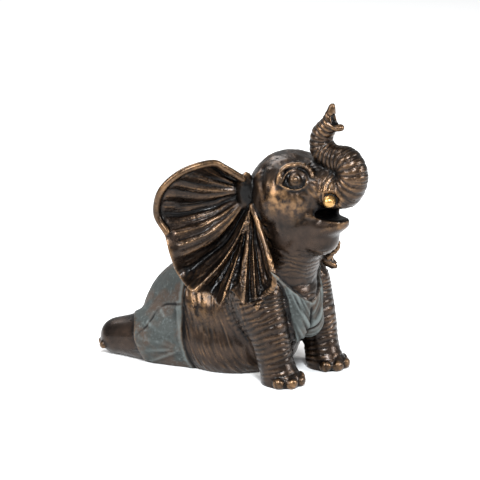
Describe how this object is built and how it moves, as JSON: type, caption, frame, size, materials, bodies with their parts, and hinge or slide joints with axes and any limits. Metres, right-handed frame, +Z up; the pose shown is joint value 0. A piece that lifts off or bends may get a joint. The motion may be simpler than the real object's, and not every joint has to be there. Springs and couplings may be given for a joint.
{
  "type": "elephant figurine",
  "caption": "Cast elephant figurine in top and trousers, resting on its belly with chest, head and trunk raised on straight forelegs.",
  "frame": {"origin": "on the table, under the middle of the figurine's bounding box", "axes": "+Z up, the elephant faces -Y, its own right side is at -X"},
  "size_m": [0.1056, 0.1422, 0.1405],
  "materials": {
    "bronze_cast": "cold-cast resin painted as dark bronze with rubbed gold edges and grey-green clothes"
  },
  "bodies": {
    "root": {"elephant_figurine": "bronze_cast"}
  },
  "joints": []
}
